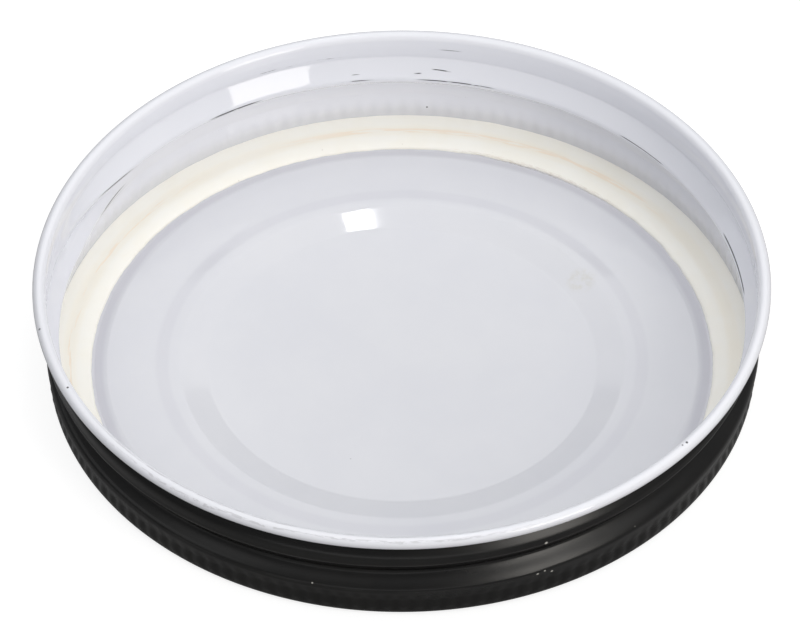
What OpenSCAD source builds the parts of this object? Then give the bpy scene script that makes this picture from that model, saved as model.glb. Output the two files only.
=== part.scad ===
// One-piece metal screw lid for a wide-mouth storage jar, with its flowed-in sealing gasket.
// It lies as photographed: closed panel down on the table, open mouth up (+Z).
// The sheet is one continuous profile: panel rings, gasket channel, grip band, skirt and rolled edge.

/* [Overall] */
// Outside diameter, over the rolled edge
lid_d = 92.6; // [84:0.2:112]
// Height, from the closed panel's underside to the top of the rolled edge
lid_h = 14.8; // [14.2:0.1:20]
// Thickness of the steel sheet
sheet_t = 0.25; // [0.2:0.01:0.3]

/* [Rolled edge] */
// Diameter of the outward curl at the mouth
curl_d = 1.6; // [1.4:0.05:2.2]
// Gap left between the curl's raw edge and the skirt
curl_gap = 0.1; // [0.05:0.01:0.2]

/* [Thread] */
// Rise of the thread in one turn
thread_lead = 3; // [2.6:0.1:3.6]
// Angle that the thread turns through, in degrees
thread_turn = 388; // [330:1:395]
// Angle at which the thread's upper end lies, in degrees from +X
thread_from = 165; // [0:1:359]
// Distance from the mouth's top down to the centre of the thread's upper end
thread_drop = 5; // [4.4:0.1:5.3]
// Radial depth of the rolled thread
thread_depth = 1.6; // [1.1:0.05:1.7]
// Width of the plain skirt between the thread's two ends where they pass each other
thread_land = 0.7; // [0.65:0.05:1]
// Angle over which each end of the thread fades into the skirt, in degrees
thread_fade = 24; // [10:1:40]

/* [Grip band] */
// Number of ridges round the skirt
grip_count = 144; // [96:1:168]
// Height of the ridges above the valleys between them
grip_depth = 0.22; // [0.15:0.01:0.3]
// Radius of each ridge's round crest
grip_bar_r = 0.8; // [0.7:0.01:0.95]
// Height of the band's lower end above the panel's underside
grip_low = 1.5; // [1.4:0.05:1.8]
// Height of the band itself
grip_h = 2.6; // [2:0.1:2.8]
// Outward step from the grip band's valleys to the skirt above it
grip_step = 0.5; // [0.35:0.01:0.55]

/* [Closed panel] */
// Outer radius of the corner between panel and skirt
corner_r = 1.4; // [1:0.05:1.45]
// Width of the gasket channel, from the foot of its slope to the grip band's wall
channel_w = 5.6; // [5:0.1:7]
// Run of the channel's inner slope
channel_slope = 1.5; // [1.1:0.05:1.8]
// Rise of the flat ring above the channel and the centre
ring_rise = 0.5; // [0.3:0.05:0.8]
// Width of the flat ring, from the channel's slope in to the coined step
ring_w = 7; // [5:0.1:8]
// Run of the coined step
coin_run = 1.2; // [0.8:0.05:1.4]
// Rise of the coined step
coin_rise = 0.2; // [0.1:0.02:0.3]
// Width from the coined step in to the middle of the dished slope round the centre panel
dish_margin = 4.4; // [4:0.1:8]
// Run of the dished slope between its two bends
dish_run = 3.6; // [3:0.05:4]
// Bend radius of the dished slope
dish_bend = 2; // [1:0.5:4]

/* [Sealing gasket] */
// Height at which the gasket meets the skirt, above the panel's underside
gasket_h = 1.45; // [1:0.05:1.45]
// Thickness of the gasket's thin inner edge
gasket_edge = 0.12; // [0.08:0.01:0.25]

/* [Hidden] */
$fn = 180;

// Overrun of every cut past the metal it cuts
overrun = 0.5;
// Bend radius of the small pressed steps
step_bend = 0.4;
// Height over which the skirt steps out above the grip band
step_run = 0.3;
// Length of one facet on a bend of the sheet, in degrees
bend_step = 6;
// Number of facets round the curl
curl_steps = 36;
// Length of one facet along the thread, in degrees
thread_step = 5;

lid_r = lid_d / 2;
curl_r = curl_d / 2;
half_t = sheet_t / 2;
// Inner and outer face of the straight skirt
skirt_in = lid_r - curl_d;
skirt_out = skirt_in + sheet_t;
skirt_mid = skirt_in + half_t;
// Outer face of the grip band's valleys, and the middle of the sheet there
valley_out = skirt_out - grip_step;
valley_mid = valley_out - half_t;
// Width of the rolled groove, seen from outside
thread_w = thread_lead - thread_land;
// Corner where the skirt starts to step out, clear of the ridges' upper ends
step_z = grip_low + grip_h + step_bend / 2;
curl_z = lid_h - curl_r;
curl_in = curl_r - half_t;

// Radii of the panel's steps, each measured in from the one outside it
channel_r = valley_mid - channel_w;
coin_r = channel_r - channel_slope - ring_w;
dish_r = coin_r - dish_margin;

// Heights of the middle of the sheet in the panel
floor_z = half_t;
ring_z = floor_z + ring_rise;
coin_z = ring_z + coin_rise;

// Shape of the groove across its width: [share of the width, share of the depth]
groove_shares = [
    [-0.5, 0], [-0.4, 0.3], [-0.28, 0.76], [-0.12, 1],
    [0.12, 1], [0.28, 0.76], [0.4, 0.3], [0.5, 0]
];

// Gasket's upper face: [share of its width from the inner edge, share of its rise to the skirt]
gasket_shares = [
    [0, 0], [0.04, 0.13], [0.1, 0.25], [0.18, 0.36], [0.28, 0.45], [0.38, 0.5], [0.48, 0.51],
    [0.56, 0.49], [0.64, 0.5], [0.72, 0.57], [0.8, 0.68], [0.88, 0.8], [0.95, 0.9], [1, 1]
];

// Pressed steps of the panel, from the centre to the ring: [radius, height, bend radius]
panel_corners = [
    [0, floor_z, 0],
    [dish_r - dish_run / 2, floor_z, dish_bend],
    [dish_r + dish_run / 2, coin_z, dish_bend],
    [coin_r - coin_run / 2, coin_z, step_bend],
    [coin_r + coin_run / 2, ring_z, step_bend]
];

// Gasket channel and the corner up into the skirt
channel_corners = [
    [channel_r - channel_slope, ring_z, step_bend],
    [channel_r, floor_z, step_bend],
    [valley_mid, floor_z, corner_r - half_t]
];

// Step out above the grip band, and the straight skirt up to the rolled edge
skirt_corners = [
    [valley_mid, step_z, step_bend / 2],
    [skirt_mid, step_z + step_run, step_bend / 2],
    [skirt_mid, curl_z, 0]
];

function unit(v) = v / norm(v);
function left_of(v) = [-v.y, v.x];

// Points of one bend: the corner b between a and c, rounded to radius r
function bend(a, b, c, r) =
    let (u = unit(a - b), v = unit(c - b), half = acos(u * v) / 2)
    let (centre = b + unit(u + v) * r / sin(half))
    let (from = b + u * r / tan(half) - centre, to = b + v * r / tan(half) - centre)
    let (turn = sign(from.x * to.y - from.y * to.x) * (180 - 2 * half))
    let (steps = max(2, ceil(abs(turn) / bend_step)))
    [for (i = [0 : steps])
        let (t = turn * i / steps)
        centre + [from.x * cos(t) - from.y * sin(t), from.x * sin(t) + from.y * cos(t)]];

// Middle line of the sheet through its corners, each corner with its own bend radius
function sheet_line(corners) =
    let (last = len(corners) - 1)
    [for (i = [0 : last])
        let (p = [corners[i].x, corners[i].y])
        let (rounded = i > 0 && i < last && corners[i].z > 0)
        each rounded
            ? bend([corners[i - 1].x, corners[i - 1].y], p, [corners[i + 1].x, corners[i + 1].y],
                corners[i].z)
            : [p]];

// Outward curl: the middle line turns over the top and back in under itself
curl_end = -acos((skirt_out + curl_gap - (lid_r - curl_r)) / curl_r);
curl_line = [for (i = [1 : curl_steps])
    let (t = 180 + (curl_end - 180) * i / curl_steps)
    [lid_r - curl_r + curl_in * cos(t), curl_z + curl_in * sin(t)]];

// A line moved sideways by a distance, to its left where the distance is positive
function beside(line, distance) =
    let (last = len(line) - 1)
    [for (i = [0 : last])
        let (before = unit(line[max(i, 1)] - line[max(i, 1) - 1]))
        let (after = unit(line[min(i, last - 1) + 1] - line[min(i, last - 1)]))
        let (side = unit(left_of(before) + left_of(after)))
        line[i] + side * distance / (side * left_of(before))];

function reversed(list) = [for (i = [len(list) - 1 : -1 : 0]) list[i]];

module turned_sheet(line) {
    rotate_extrude()
        polygon(concat(beside(line, -half_t), reversed(beside(line, half_t))));
}

// Upright round bars, one for each ridge of the grip band, on a thin ring of radius ring_r
// whose inside is open to the radius core. The ends are drawn in from the band's by inset.
module grip_bars(bar_r, ring_r, core, inset) {
    translate([0, 0, grip_low + inset])
        linear_extrude(grip_h - 2 * inset)
            difference() {
                union() {
                    circle(r = ring_r);
                    for (i = [0 : grip_count - 1])
                        rotate(360 * i / grip_count)
                            translate([valley_out + grip_depth - grip_bar_r, 0])
                                circle(r = bar_r);
                }
                circle(r = core);
            }
}

// How deep the thread is at a point along it, as a share of its depth
function fade(turned) =
    let (near = min(turned, thread_turn - turned) / thread_fade)
    near >= 1 ? 1 : (1 - cos(180 * near)) / 2;

// One turn of a bar with the groove's shape, its crest pointing at the axis.
// face is the radius of the sheet's face, width the bar's width and back its outer radius.
module thread_bar(face, width, back) {
    rings = ceil(thread_turn / thread_step);
    ring_size = len(groove_shares) + 2;
    points = [for (k = [0 : rings])
        let (turned = thread_turn * k / rings)
        let (t = thread_from - turned)
        let (z = lid_h - thread_drop - thread_lead * turned / 360)
        let (section = concat(
            [[back, width / 2], [back, -width / 2]],
            [for (s = groove_shares) [face - thread_depth * fade(turned) * s.y, width * s.x]]))
        for (q = section) [q.x * cos(t), q.x * sin(t), z + q.y]];
    sides = [for (k = [0 : rings - 1], j = [0 : ring_size - 1])
        let (a = k * ring_size + j, b = k * ring_size + (j + 1) % ring_size)
        each [[a, b, b + ring_size], [a, b + ring_size, a + ring_size]]];
    near_end = [[for (j = [0 : ring_size - 1]) (ring_size - j) % ring_size]];
    far_end = [[for (j = [0 : ring_size - 1]) rings * ring_size + j]];
    polyhedron(points, concat(sides, near_end, far_end));
}

// Formed steel shell: one sheet from the centre panel to the raw edge inside the curl
module lid_shell() {
    color("whitesmoke")
        difference() {
            union() {
                turned_sheet(concat(
                    sheet_line(concat(panel_corners, channel_corners, skirt_corners)), curl_line));
                grip_bars(grip_bar_r, valley_out - half_t / 2, valley_mid, 0);
                thread_bar(skirt_in + half_t / 2, thread_w + 2 * sheet_t, skirt_mid);
            }
            grip_bars(grip_bar_r - sheet_t, valley_out - sheet_t - half_t, valley_out - sheet_t - overrun,
                sheet_t);
            thread_bar(skirt_out + half_t / 2, thread_w, skirt_out + overrun);
        }
}

// Flowed-in sealing ring, which fills the channel and the corner behind it
module sealing_gasket() {
    channel_face = beside(sheet_line(concat(channel_corners, skirt_corners)), half_t);
    inner_x = channel_r + step_bend;
    wall_x = valley_out - sheet_t;
    corner = [for (p = channel_face) if (p.x > inner_x && p.y < gasket_h) p];
    bed = concat([[inner_x, sheet_t]], corner);
    rise = gasket_h - sheet_t - gasket_edge;
    crown = [for (s = gasket_shares)
        [inner_x + (wall_x - inner_x) * s.x, sheet_t + gasket_edge + rise * s.y]];
    color("ivory")
        rotate_extrude()
            polygon(concat(bed, reversed(crown)));
}

lid_shell();
sealing_gasket();
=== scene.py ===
# Metal screw lid of a wide-mouth storage jar, lying open side up on a pale table.
# One formed sheet, white enamel inside and black lacquer outside, with a cream sealing gasket.
import math

import bmesh
import bpy
from mathutils import Matrix, Vector, noise


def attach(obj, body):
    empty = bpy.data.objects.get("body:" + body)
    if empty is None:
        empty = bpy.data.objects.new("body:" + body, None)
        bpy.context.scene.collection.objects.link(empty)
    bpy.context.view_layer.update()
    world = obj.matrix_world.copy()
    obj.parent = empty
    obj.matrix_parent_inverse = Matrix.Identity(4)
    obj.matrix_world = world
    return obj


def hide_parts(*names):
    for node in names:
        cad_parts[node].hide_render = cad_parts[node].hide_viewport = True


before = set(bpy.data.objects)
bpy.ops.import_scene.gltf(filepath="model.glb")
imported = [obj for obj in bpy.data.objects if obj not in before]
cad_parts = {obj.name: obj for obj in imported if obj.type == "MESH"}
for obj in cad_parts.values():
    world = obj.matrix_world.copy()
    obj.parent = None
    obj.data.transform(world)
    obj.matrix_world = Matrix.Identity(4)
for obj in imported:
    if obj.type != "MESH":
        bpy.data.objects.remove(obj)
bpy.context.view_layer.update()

MM = 0.001

# Sizes of the whole lid and of its curl and skirt, in millimetres
LID_R = 46.3
LID_H = 14.8
SHEET = 0.25
CURL_R = 0.8
CURL_GAP = 0.1
CURL_Z = LID_H - CURL_R
SKIRT_IN = LID_R - 2 * CURL_R
SKIRT_MID = SKIRT_IN + SHEET / 2
SKIRT_LOW = 5.1
NECK_DEPTH = 0.08
NECK_FOOT = (11.0, 12.8)
NECK_HEAD = (14.0, 13.1)

# Grip band: its valleys stand in from the skirt by the shoulder
SHOULDER = 0.5
SHOULDER_FOOT = 3.0
SHOULDER_RISE = 1.9
SHOULDER_BEND = 1.2
VALLEY_OUT = SKIRT_IN + SHEET - SHOULDER
VALLEY_MID = VALLEY_OUT - SHEET / 2
CORNER_BEND = 1.275
GRIP_LOW = 1.5
GRIP_TOP = 4.1
GRIP_COUNT = 144
GRIP_DEPTH = 0.12
RIDGE_FOOT = (GRIP_LOW - 0.3, GRIP_LOW + 0.4)
RIDGE_HEAD = (GRIP_TOP + 0.15, GRIP_TOP - 1.2)
STEP_Z = 4.3

# Panel: dish, coined ring, outer ring and gasket channel, from the middle outwards
FLOOR_Z = SHEET / 2
RING_Z = FLOOR_Z + 0.5
COIN_Z = RING_Z + 0.2
CHANNEL_R = VALLEY_MID - 5.6
SLOPE_RUN = 1.5
COIN_R = CHANNEL_R - SLOPE_RUN - 7.0
COIN_SPREAD = 1.1
COIN_BEND = 9
DISH_R = COIN_R - 3.9
DISH_SPREAD = 1.8
DISH_BEND = 2
DISH_EASE = 0.078
PANEL_R = 41
WALLS_R = 40
CURL_FROM_R = 45

# Thread: where it starts, how it rises, and the two flanks of its groove
THREAD_LEAD = 3.6
THREAD_TURN = 388.0
THREAD_FROM = 165.0
THREAD_TOP = LID_H - 5.2
THREAD_DEPTH = 1.6
THREAD_FADE = 24.0
UPPER_FROM = 0.12
UPPER_RUN = 2.2
LOWER_FROM = 0.35
LOWER_RUN = 1.85
LIP_OVER = 2.4
LIP_WIDTH = 0.2
LIP_HEIGHT = 0.07
NO_THREAD = 99.0

# Gasket: its crown is given by shares of its width and of its height
GASKET_IN = CHANNEL_R + 0.4
GASKET_WALL = VALLEY_OUT - SHEET
GASKET_TOP = 1.45
GASKET_EDGE = 0.12
GASKET_FILLET = 1.15
EDGE_WANDER = 0.11
FILLET_WANDER = 0.12
CROWN_WAVE = 0.02
GASKET_CROWN = [
    (0, 0), (0.04, 0.13), (0.1, 0.25), (0.18, 0.36), (0.28, 0.45), (0.38, 0.5), (0.48, 0.51),
    (0.56, 0.49), (0.64, 0.5), (0.72, 0.57), (0.8, 0.68), (0.88, 0.8), (0.95, 0.9), (1, 1)]

# Steps round the lid in each strip of the sheet, and the spacing of the rows up the skirt
PANEL_STEPS = 216
BAND_STEPS = 864
SKIRT_STEPS = 288
GASKET_STEPS = 432
CURL_STEPS = 21
ROWS_THREAD = (5.1, 11.6, 0.186)
ROWS_NECK = (11.9, CURL_Z, 0.3)


# Shaping the sheet

def smooth(low, high, x):
    t = min(max((x - low) / (high - low), 0.0), 1.0)
    return t * t * (3 - 2 * t)


def rounded(corners, bend_step=12):
    """Line through corners of (radius, height, bend radius); a corner with a bend of 0 stays as it is."""
    line = []
    for i, (r, z, bend) in enumerate(corners):
        here = Vector((r, z))
        if i in (0, len(corners) - 1) or bend == 0:
            line.append(here)
            continue
        back = (Vector(corners[i - 1][:2]) - here).normalized()
        ahead = (Vector(corners[i + 1][:2]) - here).normalized()
        half = back.angle(ahead) / 2
        centre = here + (back + ahead).normalized() * bend / math.sin(half)
        start = here + back * bend / math.tan(half) - centre
        end = here + ahead * bend / math.tan(half) - centre
        sweep = start.angle_signed(end)
        steps = max(2, math.ceil(math.degrees(abs(sweep)) / bend_step))
        line += [centre + Matrix.Rotation(-sweep * k / steps, 2) @ start for k in range(steps + 1)]
    return line


def straight(r, low, high, spacing):
    """Points up a straight wall, evenly spaced."""
    steps = max(1, round((high - low) / spacing))
    return [Vector((r, low + (high - low) * k / steps)) for k in range(steps + 1)]


def spin_line(bm, line, steps, sectors=24):
    """Adds to bm a strip of the sheet: a line of (radius, height) points spun about the lid's axis."""
    strip = bmesh.new()
    verts = [strip.verts.new((p.x * MM, 0, p.y * MM)) for p in line]
    edges = [strip.edges.new(pair) for pair in zip(verts, verts[1:])]
    bmesh.ops.spin(strip, geom=verts + edges, cent=(0, 0, 0), axis=(0, 0, 1), dvec=(0, 0, 0),
                   angle=2 * math.pi / sectors, steps=steps // sectors, use_merge=False, use_duplicate=False)
    sector = strip.verts[:] + strip.edges[:] + strip.faces[:]
    for k in range(1, sectors):
        copied = bmesh.ops.duplicate(strip, geom=sector)["geom"]
        bmesh.ops.rotate(strip, verts=[v for v in copied if isinstance(v, bmesh.types.BMVert)],
                         cent=(0, 0, 0), matrix=Matrix.Rotation(2 * math.pi * k / sectors, 3, 'Z'))
    bmesh.ops.remove_doubles(strip, verts=strip.verts, dist=1e-6)
    part = bpy.data.meshes.new("strip")
    strip.to_mesh(part)
    strip.free()
    bm.from_mesh(part)
    bpy.data.meshes.remove(part)


def split_ring(bm, r, z, cuts):
    """Cuts the edges of one ring of the mesh, so that a ring with more points can be welded to it."""
    def on_ring(v):
        return abs(v.co.xy.length - r * MM) < 1e-7 and abs(v.co.z - z * MM) < 1e-7
    ring = [e for e in bm.edges if on_ring(e.verts[0]) and on_ring(e.verts[1])]
    made = bmesh.ops.subdivide_edges(bm, edges=ring, cuts=cuts)
    for v in made["geom_inner"]:
        if isinstance(v, bmesh.types.BMVert):
            v.co.xy = v.co.xy.normalized() * r * MM


def close_seams(bm):
    bmesh.ops.remove_doubles(bm, verts=bm.verts, dist=1e-6)
    bmesh.ops.recalc_face_normals(bm, faces=bm.faces)


def finish_piece(name, bm, materials):
    mesh = bpy.data.meshes.new(name)
    bm.to_mesh(mesh)
    bm.free()
    mesh.shade_smooth()
    mesh.set_sharp_from_angle(angle=math.radians(60))
    for material in materials:
        mesh.materials.append(material)
    piece = bpy.data.objects.new(name, mesh)
    bpy.context.scene.collection.objects.link(piece)
    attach(piece, "root")
    return piece


def grip_ridge(angle, z):
    """How far a point of the grip band stands out over the valleys."""
    height = GRIP_DEPTH * (0.5 + 0.5 * math.cos(angle * GRIP_COUNT))
    return height * smooth(*RIDGE_FOOT, z) * smooth(*RIDGE_HEAD, z)


def over_thread(angle, z):
    """Height over the middle of the nearest pass of the thread, and how far that pass has faded in."""
    turned = (THREAD_FROM - math.degrees(angle)) % 360
    nearest, share = NO_THREAD, 0.0
    for pass_turn in (turned, turned + 360):
        off = z - THREAD_TOP + THREAD_LEAD * pass_turn / 360
        if pass_turn <= THREAD_TURN and abs(off) < abs(nearest):
            nearest, share = off, smooth(0, THREAD_FADE, min(pass_turn, THREAD_TURN - pass_turn))
    return nearest, share


def thread_groove(off, share):
    """How deep the thread presses the skirt in: a long upper flank with a slight lip, a shorter lower one."""
    lip = LIP_HEIGHT * math.exp(-((off - LIP_OVER) / LIP_WIDTH) ** 2)
    if off > 0:
        flank = 1 - min(max((off - UPPER_FROM) / UPPER_RUN, 0.0), 1.0)
    else:
        ramp = min(max((-off - LOWER_FROM) / LOWER_RUN, 0.0), 1.0)
        flank = 1 - (0.6 * ramp + 0.4 * smooth(0, 1, ramp))
    return share * (THREAD_DEPTH * flank - lip)


def neck(z):
    """How far the skirt draws in under the curl."""
    return NECK_DEPTH * smooth(*NECK_FOOT, z) * smooth(*NECK_HEAD, z)


def panel_line():
    """From the middle of the dish to the floor of the gasket's channel."""
    return rounded([
        (0, FLOOR_Z, 0), (12, FLOOR_Z, 0), (22, FLOOR_Z, 0), (DISH_R - DISH_SPREAD, FLOOR_Z, DISH_BEND),
        (DISH_R - 1.4, FLOOR_Z + DISH_EASE, 0), (DISH_R + 1.4, COIN_Z - DISH_EASE, 0),
        (DISH_R + DISH_SPREAD, COIN_Z, DISH_BEND), (COIN_R - COIN_SPREAD, COIN_Z, COIN_BEND),
        (COIN_R + COIN_SPREAD, RING_Z, COIN_BEND), (CHANNEL_R - 4, RING_Z, 0),
        (CHANNEL_R - SLOPE_RUN, RING_Z, 1.2), (CHANNEL_R, FLOOR_Z, 0.4), (PANEL_R, FLOOR_Z, 0)], bend_step=5)


def band_line():
    """Round the lid's bottom corner, up the grip band and over its shoulder, with even rows at the ridges."""
    shoulder_top = SHOULDER_FOOT + SHOULDER_RISE
    corner = rounded(
        [(PANEL_R, FLOOR_Z, 0), (VALLEY_MID, FLOOR_Z, CORNER_BEND), (VALLEY_MID, SHOULDER_FOOT, 1.5)]
        + [(VALLEY_MID + SHOULDER * s, SHOULDER_FOOT + SHOULDER_RISE * s, 0) for s in (0.25, 0.45, 0.65)]
        + [(SKIRT_MID, shoulder_top, SHOULDER_BEND), (SKIRT_MID, SKIRT_LOW, 0)], bend_step=9)
    band = [p for p in corner if p.y < 1.41] + straight(VALLEY_MID, 1.6, 2.1, 0.25)
    return band + [Vector((VALLEY_MID, 2.5))] + [p for p in corner if p.y > 2.75]


def skirt_line():
    """Up the skirt and round the curl to the sheet's cut edge, which stops just short of the skirt."""
    curl_in = CURL_R - SHEET / 2
    curl_from = 180.0
    curl_to = -math.degrees(math.acos((SKIRT_IN + SHEET + CURL_GAP - (LID_R - CURL_R)) / CURL_R))
    line = straight(SKIRT_MID, *ROWS_THREAD) + straight(SKIRT_MID, *ROWS_NECK)
    for k in range(1, CURL_STEPS + 1):
        turn = math.radians(curl_from + (curl_to - curl_from) * k / CURL_STEPS)
        line.append(Vector((LID_R - CURL_R + curl_in * math.cos(turn), CURL_Z + curl_in * math.sin(turn))))
    return line


def press_walls(bm):
    """Rolls the thread and the ridges into the walls, and keeps each point's height over the thread."""
    from_thread = bm.verts.layers.float.new("over_thread")
    for v in bm.verts:
        r = math.hypot(v.co.x, v.co.y)
        z = v.co.z / MM
        angle = math.atan2(v.co.y, v.co.x)
        off, share = over_thread(angle, z)
        v[from_thread] = off if z > STEP_Z else NO_THREAD
        if r > WALLS_R * MM and z < CURL_Z:
            groove = thread_groove(off, share) * smooth(4.4, SKIRT_LOW, z)
            drawn_in = neck(z) * (r < CURL_FROM_R * MM)
            pressed = (r / MM + grip_ridge(angle, z) - groove - drawn_in) * MM / r
            v.co.x *= pressed
            v.co.y *= pressed


def make_lid_shell(materials):
    """The whole lid: panel, channel, grip band, thread and curl, bent from one sheet."""
    bm = bmesh.new()
    spin_line(bm, panel_line(), PANEL_STEPS)
    split_ring(bm, PANEL_R, FLOOR_Z, BAND_STEPS // PANEL_STEPS - 1)
    spin_line(bm, skirt_line(), SKIRT_STEPS)
    split_ring(bm, SKIRT_MID, SKIRT_LOW, BAND_STEPS // SKIRT_STEPS - 1)
    spin_line(bm, band_line(), BAND_STEPS)
    close_seams(bm)
    press_walls(bm)
    lid = finish_piece("lid_shell_formed", bm, materials)
    wall = lid.modifiers.new("sheet thickness", 'SOLIDIFY')
    wall.thickness = SHEET * MM
    wall.offset = 0
    wall.use_even_offset = True
    wall.use_quality_normals = True
    wall.material_offset = 1
    wall.material_offset_rim = 2
    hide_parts("lid_shell")


def make_gasket(material):
    """Sealing ring that was flowed into the channel: a low inner apron and a fillet up the wall."""
    bed = rounded([(GASKET_IN, SHEET, 0), (GASKET_WALL, SHEET, GASKET_FILLET), (GASKET_WALL, GASKET_TOP, 0)])
    low = SHEET + GASKET_EDGE
    crown = [Vector((GASKET_IN + (GASKET_WALL - GASKET_IN) * s, low + (GASKET_TOP - low) * t))
             for s, t in GASKET_CROWN]
    bm = bmesh.new()
    spin_line(bm, bed + crown[-2::-1] + [bed[0]], GASKET_STEPS)
    close_seams(bm)
    for v in bm.verts:
        r = v.co.xy.length / MM
        z = v.co.z / MM
        along = Vector((v.co.x, v.co.y, 0)).normalized()
        wander = noise.noise(along * 14) + 0.6 * noise.noise(along * 45)
        if r < GASKET_IN + 0.4:
            v.co.xy *= 1 + EDGE_WANDER * wander / r
        elif r > GASKET_WALL - 0.4 and z > 1.0:
            v.co.z += FILLET_WANDER * wander * (z - 1.0) * MM
        elif z > SHEET + 0.3:
            v.co.z += CROWN_WAVE * noise.noise(along * 22 + Vector((0, 0, r * 0.8))) * MM
    gasket = finish_piece("gasket_flowed_in", bm, [material])
    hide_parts("sealing_gasket")


# Helpers for finishes

def add(tree, kind, inputs=None, **settings):
    """A node with its settings, and its inputs set to values or linked from sockets."""
    made = tree.nodes.new(kind)
    for key, value in settings.items():
        setattr(made, key, value)
    for key, value in (inputs or {}).items():
        if isinstance(value, bpy.types.NodeSocket):
            tree.links.new(value, made.inputs[key])
        else:
            made.inputs[key].default_value = value
    return made


def sum_of(tree, operation, a, b=0.0, c=0.0):
    return add(tree, 'ShaderNodeMath', {0: a, 1: b, 2: c}, operation=operation).outputs[0]


def eased(tree, value, low, high, to_low=0.0, to_high=1.0):
    """A value turned smoothly from one range to another."""
    made = add(tree, 'ShaderNodeMapRange', {0: value, 1: low, 2: high, 3: to_low, 4: to_high},
               interpolation_type='SMOOTHSTEP')
    return made.outputs[0]


def mix_colour(tree, mask, a, b):
    return add(tree, 'ShaderNodeMix', {0: mask, 6: a, 7: b}, data_type='RGBA').outputs[2]


def grain(tree, point, scale, detail=2.0, rough=0.55):
    made = add(tree, 'ShaderNodeTexNoise', {
        "Vector": point, "Scale": scale, "Detail": detail, "Roughness": rough})
    return made.outputs[0]


def per_size(tree, size):
    """Scale of a pattern from the size of its grains."""
    return sum_of(tree, 'DIVIDE', 1.0, size)


def new_effect(name, takes, gives):
    """An empty group of shader nodes with named inputs and outputs."""
    tree = bpy.data.node_groups.new(name, 'ShaderNodeTree')
    for label, value in takes.items():
        kind = 'NodeSocketVector' if isinstance(value, tuple) else 'NodeSocketFloat'
        tree.interface.new_socket(label, in_out='INPUT', socket_type=kind).default_value = value
    for label, kind in gives.items():
        tree.interface.new_socket(label, in_out='OUTPUT', socket_type=kind)
    return tree, tree.nodes.new('NodeGroupInput').outputs, tree.nodes.new('NodeGroupOutput')


def give(tree, outputs, **results):
    for label, socket in results.items():
        tree.links.new(socket, outputs.inputs[label])
    return tree


# Effects that the finishes share

def lid_place():
    """Where a point lies on the lid, in millimetres and degrees, and a vector that runs with the rings."""
    tree, given, out = new_effect("place on the lid", {"Object Point": (0.0, 0.0, 0.0)}, {
        "Point": 'NodeSocketVector', "Radius": 'NodeSocketFloat', "Height": 'NodeSocketFloat',
        "Angle": 'NodeSocketFloat', "Streaks": 'NodeSocketVector'})
    point = add(tree, 'ShaderNodeVectorMath', {0: given["Object Point"], "Scale": 1000.0},
                operation='SCALE').outputs[0]
    parts = add(tree, 'ShaderNodeSeparateXYZ', {0: point}).outputs
    flat = add(tree, 'ShaderNodeCombineXYZ', {0: parts[0], 1: parts[1]}).outputs[0]
    radius = add(tree, 'ShaderNodeVectorMath', {0: flat}, operation='LENGTH').outputs[1]
    turned = sum_of(tree, 'DEGREES', sum_of(tree, 'ARCTAN2', parts[1], parts[0]))
    angle = sum_of(tree, 'FLOORED_MODULO', turned, 360.0)
    ring = add(tree, 'ShaderNodeVectorMath', {0: flat}, operation='NORMALIZE').outputs[0]
    spread = add(tree, 'ShaderNodeVectorMath', {0: ring, "Scale": 6.0}, operation='SCALE').outputs[0]
    outwards = sum_of(tree, 'MULTIPLY_ADD', radius, 1.7, parts[2])
    rise = add(tree, 'ShaderNodeCombineXYZ', {2: outwards}).outputs[0]
    streaks = add(tree, 'ShaderNodeVectorMath', {0: spread, 1: rise}, operation='ADD').outputs[0]
    return give(tree, out, Point=point, Radius=radius, Height=parts[2], Angle=angle, Streaks=streaks)


def arc_mark():
    """Mask of a mark that runs round the lid between two angles, ragged and broken along its length."""
    tree, given, out = new_effect("mark along an arc", {
        "Angle": 0.0, "Across": 0.0, "From": 0.0, "To": 360.0, "Ends": 2.0, "Middle": 0.0,
        "Half Width": 0.1, "Ragged": 0.0, "Gaps": 0.0, "Gap Scale": 1.0, "Streaks": (0.0, 0.0, 0.0)},
        {"Mask": 'NodeSocketFloat'})
    start = sum_of(tree, 'DIVIDE', sum_of(tree, 'SUBTRACT', given["Angle"], given["From"]), given["Ends"])
    end = sum_of(tree, 'DIVIDE', sum_of(tree, 'SUBTRACT', given["To"], given["Angle"]), given["Ends"])
    along = eased(tree, sum_of(tree, 'MINIMUM', start, end), 0.0, 1.0)
    wander = sum_of(tree, 'SUBTRACT', grain(tree, given["Streaks"], 1.3, 3.0), 0.5)
    middle = sum_of(tree, 'MULTIPLY_ADD', wander, given["Ragged"], given["Middle"])
    off = sum_of(tree, 'ABSOLUTE', sum_of(tree, 'SUBTRACT', given["Across"], middle))
    across = eased(tree, sum_of(tree, 'DIVIDE', off, given["Half Width"]), 0.4, 1.0, 1.0, 0.0)
    broken = grain(tree, given["Streaks"], given["Gap Scale"], 3.0, 0.6)
    kept = eased(tree, sum_of(tree, 'SUBTRACT', broken, given["Gaps"]), 0.0, 0.12)
    return give(tree, out, Mask=sum_of(tree, 'MULTIPLY', sum_of(tree, 'MULTIPLY', along, across), kept))


def single_spot():
    """Mask of one small spot at a point of the lid."""
    tree, given, out = new_effect("single spot", {
        "Point": (0.0, 0.0, 0.0), "Centre": (0.0, 0.0, 0.0), "Size": 0.2}, {"Mask": 'NodeSocketFloat'})
    away = add(tree, 'ShaderNodeVectorMath', {0: given["Point"], 1: given["Centre"]},
               operation='DISTANCE').outputs[1]
    share = sum_of(tree, 'DIVIDE', away, given["Size"])
    return give(tree, out, Mask=eased(tree, share, 0.45, 1.0, 1.0, 0.0))


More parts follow.
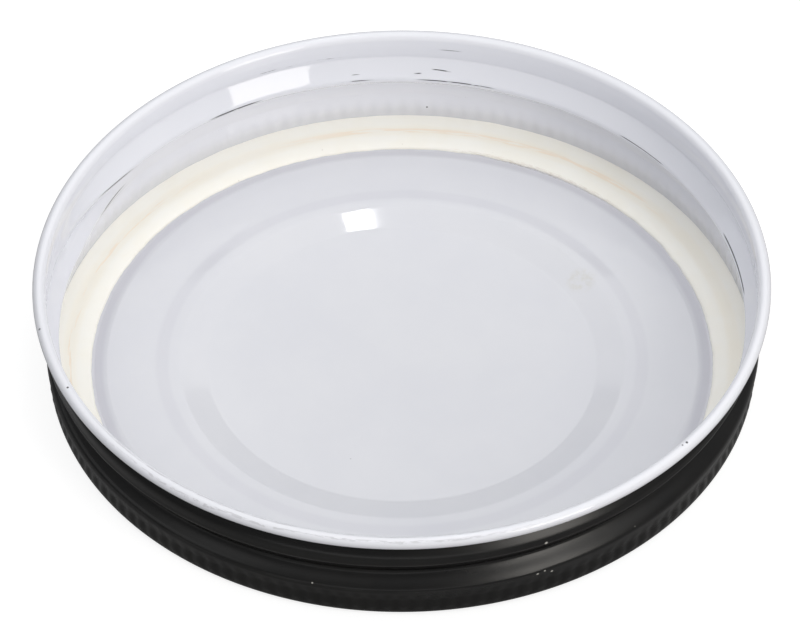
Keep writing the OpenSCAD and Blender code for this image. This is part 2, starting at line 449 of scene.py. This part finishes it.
def scattered_specks():
    """Mask of dust and small chips, scattered with a given spacing and kept in a share of the places."""
    tree, given, out = new_effect("scattered specks", {
        "Point": (0.0, 0.0, 0.0), "Spacing": 3.0, "Size": 0.12, "Share": 0.3}, {"Mask": 'NodeSocketFloat'})
    cells = add(tree, 'ShaderNodeTexVoronoi', {
        "Vector": given["Point"], "Scale": per_size(tree, given["Spacing"]), "Randomness": 1.0})
    chance = add(tree, 'ShaderNodeSeparateColor', {0: cells.outputs["Color"]}).outputs
    kept = sum_of(tree, 'LESS_THAN', chance[0], given["Share"])
    size = sum_of(tree, 'MULTIPLY', sum_of(tree, 'MULTIPLY_ADD', chance[1], 0.7, 0.3),
                  sum_of(tree, 'DIVIDE', given["Size"], given["Spacing"]))
    mask = eased(tree, sum_of(tree, 'DIVIDE', cells.outputs["Distance"], size), 0.5, 1.0, 1.0, 0.0)
    return give(tree, out, Mask=sum_of(tree, 'MULTIPLY', mask, kept))


def slow_unevenness():
    """A value that drifts between two limits over the surface, such as gloss or tint."""
    tree, given, out = new_effect("slow unevenness", {
        "Point": (0.0, 0.0, 0.0), "Size": 10.0, "Low": 0.0, "High": 1.0}, {"Value": 'NodeSocketFloat'})
    drift = grain(tree, given["Point"], per_size(tree, given["Size"]), 4.0, 0.6)
    spread = sum_of(tree, 'SUBTRACT', given["High"], given["Low"])
    return give(tree, out, Value=sum_of(tree, 'MULTIPLY_ADD', eased(tree, drift, 0.3, 0.7), spread,
                                        given["Low"]))


def coating_texture():
    """Height of a stoved coating's surface: a fine grain on slow waves, in millimetres."""
    tree, given, out = new_effect("coating texture", {
        "Point": (0.0, 0.0, 0.0), "Grain Size": 0.4, "Grain Height": 0.001, "Wave Size": 3.0,
        "Wave Height": 0.004}, {"Height": 'NodeSocketFloat'})
    fine = add(tree, 'ShaderNodeTexNoise', {
        "Vector": given["Point"], "Detail": 2.0, "Scale": per_size(tree, given["Grain Size"])}).outputs[0]
    slow = add(tree, 'ShaderNodeTexNoise', {
        "Vector": given["Point"], "Detail": 1.0, "Scale": per_size(tree, given["Wave Size"])}).outputs[0]
    grains = sum_of(tree, 'MULTIPLY', fine, given["Grain Height"])
    return give(tree, out, Height=sum_of(tree, 'MULTIPLY_ADD', slow, given["Wave Height"], grains))


EFFECTS = {"place": lid_place(), "arc": arc_mark(), "spot": single_spot(), "specks": scattered_specks(),
           "uneven": slow_unevenness(), "coat": coating_texture()}

ALL_ROUND = (-5.0, 365.0)


class Finish:
    """A material in the making: its colour so far, and the marks that can be laid over it."""

    def __init__(self, name):
        self.material = bpy.data.materials.new(name)
        self.material.use_nodes = True
        self.tree = self.material.node_tree
        self.shader = self.tree.nodes["Principled BSDF"]
        coords = add(self.tree, 'ShaderNodeTexCoord').outputs["Object"]
        self.lid = self.use("place", {"Object Point": coords})
        self.colour = None

    def use(self, effect, inputs):
        return add(self.tree, 'ShaderNodeGroup', inputs, node_tree=EFFECTS[effect]).outputs

    def sum_of(self, operation, a, b=0.0, c=0.0):
        return sum_of(self.tree, operation, a, b, c)

    def share(self, mask, amount):
        return self.sum_of('MULTIPLY', mask, amount)

    def both(self, masks):
        """One mask from several, by the strongest of them."""
        total = masks[0]
        for mask in masks[1:]:
            total = self.sum_of('MAXIMUM', total, mask)
        return total

    def between(self, value, low, high):
        return eased(self.tree, value, low, high)

    def over_thread(self):
        return add(self.tree, 'ShaderNodeAttribute', attribute_name="over_thread").outputs["Fac"]

    def arc(self, across, start, end, middle, half_width, ends=2.0, ragged=0.0, gaps=0.0, gap_scale=1.0):
        """Mark along an arc: its angles in degrees, and its middle and half width in millimetres."""
        return self.use("arc", {
            "Angle": self.lid["Angle"], "Across": across, "From": start, "To": end, "Ends": ends,
            "Middle": middle, "Half Width": half_width, "Ragged": ragged, "Gaps": gaps,
            "Gap Scale": gap_scale, "Streaks": self.lid["Streaks"]})["Mask"]

    def spot(self, centre, size):
        return self.use("spot", {"Point": self.lid["Point"], "Centre": centre, "Size": size})["Mask"]

    def specks(self, spacing, size, share):
        return self.use("specks", {
            "Point": self.lid["Point"], "Spacing": spacing, "Size": size, "Share": share})["Mask"]

    def uneven(self, size, low=0.0, high=1.0, along="Point"):
        return self.use("uneven", {"Point": self.lid[along], "Size": size, "Low": low, "High": high})["Value"]

    def coat(self, grain_size, grain_height, wave_size, wave_height, along="Point"):
        return self.use("coat", {
            "Point": self.lid[along], "Grain Size": grain_size, "Grain Height": grain_height,
            "Wave Size": wave_size, "Wave Height": wave_height})["Height"]

    def mottle(self, mask, one, other):
        """Base colour that drifts between two colours."""
        self.colour = mix_colour(self.tree, mask, one, other)

    def lay(self, mask, colour):
        """Lays a colour over what is there, where the mask is strong."""
        self.colour = mix_colour(self.tree, mask, self.colour, colour)

    def finish(self, rough, height):
        """Links colour, roughness and the surface's height, which is in millimetres."""
        bump = add(self.tree, 'ShaderNodeBump', {"Height": height, "Strength": 1.0, "Distance": MM})
        self.tree.links.new(self.colour, self.shader.inputs["Base Color"])
        self.tree.links.new(rough, self.shader.inputs["Roughness"])
        self.tree.links.new(bump.outputs[0], self.shader.inputs["Normal"])
        return self.material


def on_lid(angle, r, z):
    """Point of the lid at an angle, radius and height, in millimetres."""
    turn = math.radians(angle)
    return (r * math.cos(turn), r * math.sin(turn), z)


# Colours of the white enamel and its marks
ENAMEL = (0.713, 0.719, 0.754, 1)
ENAMEL_THIN = (0.689, 0.696, 0.737, 1)
# Painted light: the enamel is made lighter up the walls than on the panel
WALL_PAINTED_LIGHT = (0.87, 0.882, 0.945, 1)
# Painted light: the curl's enamel is made lighter than the panel's
CURL_PAINTED_LIGHT = (0.84, 0.84, 0.86, 1)
CURL_EDGE_GREY = (0.58, 0.57, 0.555, 1)
# Grime with painted shade, laid in the channel and at the coined step
GRIME_AND_SHADE = (0.50, 0.49, 0.56, 1)
DARK_EDGE = (0.20, 0.13, 0.09, 1)
SMUDGE = (0.52, 0.48, 0.33, 1)
WORN_CURL = (0.34, 0.33, 0.34, 1)
SCRATCH = (0.035, 0.035, 0.045, 1)

# Colours of the black lacquer, the cut steel and the cream compound
LACQUER = (0.0030, 0.0029, 0.0028, 1)
LACQUER_THIN = (0.0055, 0.0050, 0.0046, 1)
LACQUER_RUBBED = (0.035, 0.034, 0.033, 1)
PALE_SPECK = (0.55, 0.54, 0.5, 1)
STEEL = (0.52, 0.51, 0.49, 1)
STEEL_DULL = (0.36, 0.34, 0.31, 1)
CREAM = (0.955, 0.94, 0.88, 1)
CREAM_DEEP = (0.95, 0.925, 0.845, 1)
RIM_TINT = (0.95, 0.86, 0.68, 1)
RIM_TAN = (0.93, 0.66, 0.40, 1)
STAINED_EDGE = (0.50, 0.38, 0.26, 1)
DIRT = (0.16, 0.09, 0.06, 1)

LACQUER_SHINE = 0.36

# Places of the tints, the painted light and the marks, in millimetres: heights over which one comes in, radii
# and a point
WALL_PAINTED_LIGHT_RISE = (1.6, 4.0)
CURL_PAINTED_LIGHT_RISE = (13.9, 14.2)
CURL_TOP = 14.2
CURL_EDGE_GREY_R = (45.6, 46.1)
CURL_EDGE_GREY_Z = (12.9, 13.3)
WAIST_Z = 10.5
RIM_LINE_R = 41.9
SMUDGE_AT = (32.4, 26.9, 0.8)

# Scratches along the thread's crest: from, to (degrees), height over the crest, half width (mm),
# length of the ends, raggedness, share of gaps and their scale
THREAD_SCRATCHES = [
    (113.5, 125, -0.25, 0.13, 3, 0.05, 0.30, 2.0),
    (94, 101, -0.05, 0.08, 3, 0.05, 0.42, 3.0),
    (73, 88, -0.05, 0.10, 3, 0.05, 0.30, 2.0),
    (96.6, 98.4, 0.55, 0.06, 0.8, 0.5, 0.0, 1.0),
    (86.2, 87.9, 0.6, 0.06, 0.8, 0.6, 0.0, 1.0),
    (81.2, 85, 1.1, 0.07, 1, 0.8, 0.44, 3.0),
    (39, 50, 0.0, 0.075, 1.5, 0.03, 0.05, 1.0),
    (4.5, 20.5, 0.3, 0.085, 2, 0.03, 0.05, 1.0),
    (141, 152, -0.2, 0.11, 4, 0.05, 0.30, 1.5)]

# Scratches on the wall over the thread: from, to, height over the panel, half width and so on
WALL_SCRATCHES = [
    (79.5, 84, 12.7, 0.07, 2, 0.5, 0.3, 2.5),
    (99, 117, 11.9, 0.06, 5, 0.7, 0.50, 2.0)]

# Single dark spots on the enamel: (angle, radius, height) and size
ENAMEL_SPOTS = [
    ((190.1, 45.9, 14.5), 0.28), ((204.1, 45.6, 14.75), 0.2), ((320.5, 45.6, 14.75), 0.22),
    ((319.6, 45.5, 14.75), 0.15), ((85.6, 44.2, 2.9), 0.18), ((140, 44.3, 5.0), 0.16)]

# Pale specks on the lacquer
LACQUER_SPOTS = [
    ((293.1, 44.95, 9.7), 0.26), ((291.7, 44.8, 4.62), 0.24), ((292.9, 44.85, 4.85), 0.2),
    ((294.2, 44.75, 4.25), 0.22), ((255.4, 44.9, 5.04), 0.2), ((309.9, 44.95, 5.58), 0.2)]


# Finishes

def white_enamel():
    """Glossy stoved enamel: a little uneven, scratched along the thread and worn along the curl, with painted
    light on its walls and curl and painted shade in its channel and at its coined step.
    """
    enamel = Finish("white enamel")
    radius = enamel.lid["Radius"]
    height = enamel.lid["Height"]
    enamel.mottle(enamel.uneven(16.0), ENAMEL, ENAMEL_THIN)

    # Painted shade with some grime: darker along the channel's slope and at the coined step
    channel_grime_and_shade = enamel.arc(radius, *ALL_ROUND, CHANNEL_R - 0.25, 1.1, ragged=0.3)
    step_grime_and_shade = enamel.arc(radius, *ALL_ROUND, COIN_R, 1.1, ragged=0.3)
    enamel.lay(enamel.both([enamel.share(channel_grime_and_shade, 0.32), enamel.share(step_grime_and_shade, 0.14)]), GRIME_AND_SHADE)
    by_gasket = enamel.arc(radius, 42, 80, GASKET_IN - 0.08, 0.18, ends=15, ragged=0.25, gaps=0.50,
                           gap_scale=14.0)
    enamel.lay(enamel.share(by_gasket, 0.6), DARK_EDGE)
    smudge = enamel.share(enamel.spot(on_lid(*SMUDGE_AT), 2.4), 0.24)
    enamel.lay(enamel.share(smudge, enamel.uneven(0.9)), SMUDGE)

    # Painted light: the curl's enamel is made lighter than the panel's
    enamel.lay(enamel.share(enamel.between(height, *CURL_PAINTED_LIGHT_RISE), 0.6), CURL_PAINTED_LIGHT)
    # The curl's outer edge is made greyer, from the back round to the left
    outer_edge = enamel.share(enamel.between(radius, *CURL_EDGE_GREY_R), enamel.between(height, *CURL_EDGE_GREY_Z))
    outer_edge = enamel.share(outer_edge, enamel.arc(height, 40, 215, 14.0, 4.0, ends=30))
    enamel.lay(enamel.share(outer_edge, 0.4), CURL_EDGE_GREY)
    # Painted light: the walls' enamel is made lighter than the panel's
    enamel.lay(enamel.share(enamel.between(height, *WALL_PAINTED_LIGHT_RISE), 0.6), WALL_PAINTED_LIGHT)

    inner_wear = enamel.arc(radius, 205, 312, 45.25, 0.14, ends=25, ragged=0.6, gaps=0.41, gap_scale=5.0)
    outer_wear = enamel.arc(radius, 208, 300, 46.0, 0.16, ends=25, ragged=0.7, gaps=0.44, gap_scale=7.0)
    worn = enamel.both([enamel.share(inner_wear, 0.42), enamel.share(outer_wear, 0.34)])
    worn = enamel.share(worn, enamel.sum_of('GREATER_THAN', height, CURL_TOP))
    enamel.lay(worn, WORN_CURL)

    thread = enamel.over_thread()
    scratches = [enamel.arc(thread, *mark) for mark in THREAD_SCRATCHES]
    scratches += [enamel.arc(height, *mark) for mark in WALL_SCRATCHES]
    spots = [enamel.spot(on_lid(*place), size) for place, size in ENAMEL_SPOTS]
    dust = enamel.share(enamel.specks(spacing=7.0, size=0.13, share=0.10), 0.5)
    marks = enamel.both(scratches + spots + [dust])
    enamel.lay(marks, SCRATCH)

    gloss = enamel.uneven(6.0, 0.03, 0.08)
    rough = enamel.sum_of('MAXIMUM', gloss, enamel.share(enamel.both([marks, worn]), 0.5))
    coat = enamel.coat(grain_size=0.5, grain_height=0.0004, wave_size=2.2, wave_height=0.004)
    return enamel.finish(rough, enamel.sum_of('MULTIPLY_ADD', marks, -0.02, coat))


def black_lacquer():
    """Satin black lacquer, rubbed thin on its high edges and lightly dusty."""
    lacquer = Finish("black satin lacquer")
    height = lacquer.lid["Height"]
    lacquer.mottle(lacquer.uneven(5.0), LACQUER, LACQUER_THIN)

    lip = lacquer.arc(lacquer.over_thread(), *ALL_ROUND, 2.35, 0.14, ragged=0.06, gaps=0.3, gap_scale=1.2)
    shoulder = lacquer.arc(height, *ALL_ROUND, STEP_Z + 0.5, 0.16, ragged=0.1, gaps=0.45, gap_scale=1.0)
    foot = lacquer.arc(height, *ALL_ROUND, 0.45, 0.4, ragged=0.3, gaps=0.42, gap_scale=2.0)
    half_pitch = 180 / GRIP_COUNT
    crest = lacquer.between(lacquer.sum_of('PINGPONG', lacquer.lid["Angle"], half_pitch), half_pitch, 0.0)
    on_band = lacquer.share(lacquer.between(height, 4.2, 2.8), lacquer.between(height, 0.9, 1.8))
    crest = lacquer.share(crest, on_band)
    lacquer.lay(lacquer.both([lacquer.share(lip, 0.5), lacquer.share(shoulder, 0.25),
                              lacquer.share(crest, 0.08), lacquer.share(foot, 0.35)]), LACQUER_RUBBED)

    spots = [lacquer.spot(on_lid(*place), size) for place, size in LACQUER_SPOTS]
    dust = lacquer.share(lacquer.specks(spacing=1.6, size=0.09, share=0.10), 0.18)
    pale = lacquer.both(spots + [dust])
    lacquer.lay(pale, PALE_SPECK)

    satin = lacquer.uneven(3.0, 0.27, 0.34, along="Streaks")
    rough = lacquer.sum_of('MULTIPLY_ADD', pale, 0.4, satin)
    lacquer.shader.inputs["Specular IOR Level"].default_value = LACQUER_SHINE
    coat = lacquer.coat(grain_size=0.16, grain_height=0.0015, wave_size=1.5, wave_height=0.008)
    ridged = lacquer.sum_of('MULTIPLY_ADD', crest, 0.03, coat)
    waist = lacquer.sum_of('SMOOTH_MAX', lacquer.sum_of('SUBTRACT', height, WAIST_Z), 0.0, 0.8)
    return lacquer.finish(rough, lacquer.sum_of('MULTIPLY_ADD', waist, -0.7, ridged))


def bare_steel():
    """Cut edge of the sheet, inside the curl."""
    steel = Finish("cut steel edge")
    steel.mottle(steel.uneven(1.5), STEEL, STEEL_DULL)
    steel.shader.inputs["Metallic"].default_value = 1
    sheared = steel.coat(grain_size=0.1, grain_height=0.01, wave_size=0.8, wave_height=0.01, along="Streaks")
    return steel.finish(steel.uneven(0.6, 0.3, 0.55, along="Streaks"), sheared)


def gasket_compound():
    """Cream sealing compound, with the tan line that a jar's rim has left in it."""
    cream = Finish("cream gasket compound")
    radius = cream.lid["Radius"]
    cream.mottle(cream.uneven(5.0), CREAM, CREAM_DEEP)

    tint = cream.arc(radius, -10, 370, RIM_LINE_R, 1.2, ragged=0.4, gaps=0.0, gap_scale=0.5)
    cream.lay(cream.share(tint, 0.22), RIM_TINT)
    back = cream.arc(radius, 30, 118, RIM_LINE_R + 0.05, 0.55, ends=22, ragged=0.5, gaps=0.42, gap_scale=1.6)
    left = cream.arc(radius, 120, 208, RIM_LINE_R, 0.34, ends=25, ragged=0.6, gaps=0.49, gap_scale=1.2)
    front = cream.arc(radius, 212, 385, RIM_LINE_R, 0.3, ends=30, ragged=0.5, gaps=0.55, gap_scale=1.5)
    line = cream.both([cream.share(back, 0.28), cream.share(left, 0.3), cream.share(front, 0.25)])
    cream.lay(line, RIM_TAN)

    edge = cream.arc(radius, 38, 88, GASKET_IN + 0.12, 0.25, ends=15, ragged=0.3, gaps=0.46, gap_scale=8.0)
    cream.lay(cream.share(edge, 0.3), STAINED_EDGE)
    dirty = cream.arc(radius, 20, 130, GASKET_IN + 0.2, 0.7, ends=15, ragged=0.2, gaps=0.3, gap_scale=2.0)
    crumbs = cream.specks(spacing=1.3, size=0.22, share=0.3)
    cream.lay(cream.share(cream.share(crumbs, dirty), 0.8), DIRT)

    rough = cream.uneven(5.0, 0.30, 0.38, along="Streaks")
    flow = cream.coat(grain_size=0.5, grain_height=0.008, wave_size=2.5, wave_height=0.015, along="Streaks")
    return cream.finish(rough, cream.sum_of('MULTIPLY_ADD', line, -0.03, flow))


# Table, light and camera

CAMERA_RAISED = 44.34
CAMERA_TILTED = -0.37
CAMERA_FAR = 40 * LID_R
SENSOR = 36
LENS = 14743.5 * SENSOR / 800
TABLE_SIZE = 3.0
TABLE_DROP = 0.00003
TABLE_GREY = (0.36, 0.36, 0.36, 1)
TABLE_GLOW = 0.80
TABLE_GLOW_IN_GLOSS = 0.05


def make_table():
    """Grey to the lid and white to the camera, so that it keeps the lid's shadow."""
    bm = bmesh.new()
    bmesh.ops.create_grid(bm, x_segments=1, y_segments=1, size=TABLE_SIZE)
    bmesh.ops.translate(bm, verts=bm.verts, vec=(0, 0, -TABLE_DROP))
    mesh = bpy.data.meshes.new("table")
    bm.to_mesh(mesh)
    bm.free()
    material = bpy.data.materials.new("white table")
    material.use_nodes = True
    tree = material.node_tree
    tree.nodes.clear()
    diffuse = add(tree, 'ShaderNodeBsdfDiffuse', {"Color": TABLE_GREY})
    rays = add(tree, 'ShaderNodeLightPath').outputs
    mirrored = sum_of(tree, 'ADD', rays["Is Glossy Ray"], rays["Is Transmission Ray"])
    seen = sum_of(tree, 'MULTIPLY_ADD', mirrored, TABLE_GLOW_IN_GLOSS,
                  sum_of(tree, 'MULTIPLY', rays["Is Camera Ray"], TABLE_GLOW))
    glow = add(tree, 'ShaderNodeEmission', {"Strength": seen})
    both = add(tree, 'ShaderNodeAddShader', {0: diffuse.outputs[0], 1: glow.outputs[0]})
    add(tree, 'ShaderNodeOutputMaterial', {"Surface": both.outputs[0]})
    mesh.materials.append(material)
    table = bpy.data.objects.new("table", mesh)
    bpy.context.scene.collection.objects.link(table)


def softbox(name, towards, distance, width, height, radiance, colour=(1, 1, 1)):
    """Rectangular lamp that shines at the lid from a direction."""
    lamp = bpy.data.lights.new(name, 'AREA')
    lamp.shape = 'RECTANGLE'
    lamp.size = width
    lamp.size_y = height
    lamp.color = colour
    lamp.energy = radiance * width * height * math.pi
    box = bpy.data.objects.new(name, lamp)
    direction = Vector(towards).normalized()
    box.location = direction * distance
    box.rotation_euler = direction.to_track_quat('Z', 'Y').to_euler()
    bpy.context.scene.collection.objects.link(box)
    return box


def ceiling_box(height, left, right, front, back, radiance):
    """Level softbox over the table, given by the places of its sides."""
    centre = Vector(((left + right) / 2, (front + back) / 2, height))
    box = softbox("ceiling", centre, centre.length, right - left, back - front, radiance)
    box.location = centre
    box.rotation_euler = (0, 0, 0)


def light_scene():
    ceiling_box(height=1.5, left=-2.2, right=2.4, front=-1.25, back=1.85, radiance=0.97)
    softbox("small lamp", (0.053, 0.413, 0.909), distance=1.2, width=0.046, height=0.076, radiance=18)
    softbox("front fill", (-0.12, -0.95, 0.20), distance=1.3, width=1.6, height=0.26, radiance=1.2)
    softbox("right fill", (1, 0.1, 0.28), distance=1.3, width=1.0, height=0.35, radiance=0.2)
    softbox("window", (0.60, -0.68, 0.415), distance=1.2, width=0.46, height=0.7, radiance=5.2,
            colour=(1.0, 0.965, 0.91))
    world = bpy.data.worlds.new("room")
    bpy.context.scene.world = world
    world.use_nodes = True
    room = world.node_tree.nodes["Background"].inputs
    room["Color"].default_value = (0.95, 0.97, 1.0, 1)
    room["Strength"].default_value = 0.22


def place_camera():
    """Camera of the photograph: 44.3 degrees above the table, from far away with a long lens."""
    raised = math.radians(CAMERA_RAISED)
    tilted = math.radians(CAMERA_TILTED)
    distance = CAMERA_FAR * MM
    target = Vector((-0.0052 * LID_R, 0, CURL_Z - 0.1325 * LID_R)) * MM
    lens = bpy.data.cameras.new("camera")
    lens.sensor_width = SENSOR
    lens.lens = LENS
    lens.clip_end = 10
    camera = bpy.data.objects.new("camera", lens)
    direction = Vector((0, -math.cos(raised), math.sin(raised)))
    turn = direction.to_track_quat('Z', 'Y').to_matrix() @ Matrix.Rotation(tilted, 3, 'Z')
    camera.matrix_world = Matrix.Translation(target + direction * distance) @ turn.to_4x4()
    bpy.context.scene.collection.objects.link(camera)
    bpy.context.scene.camera = camera


place_camera()
make_lid_shell([white_enamel(), black_lacquer(), bare_steel()])
make_gasket(gasket_compound())
make_table()
light_scene()
bpy.context.scene.view_settings.view_transform = 'Standard'
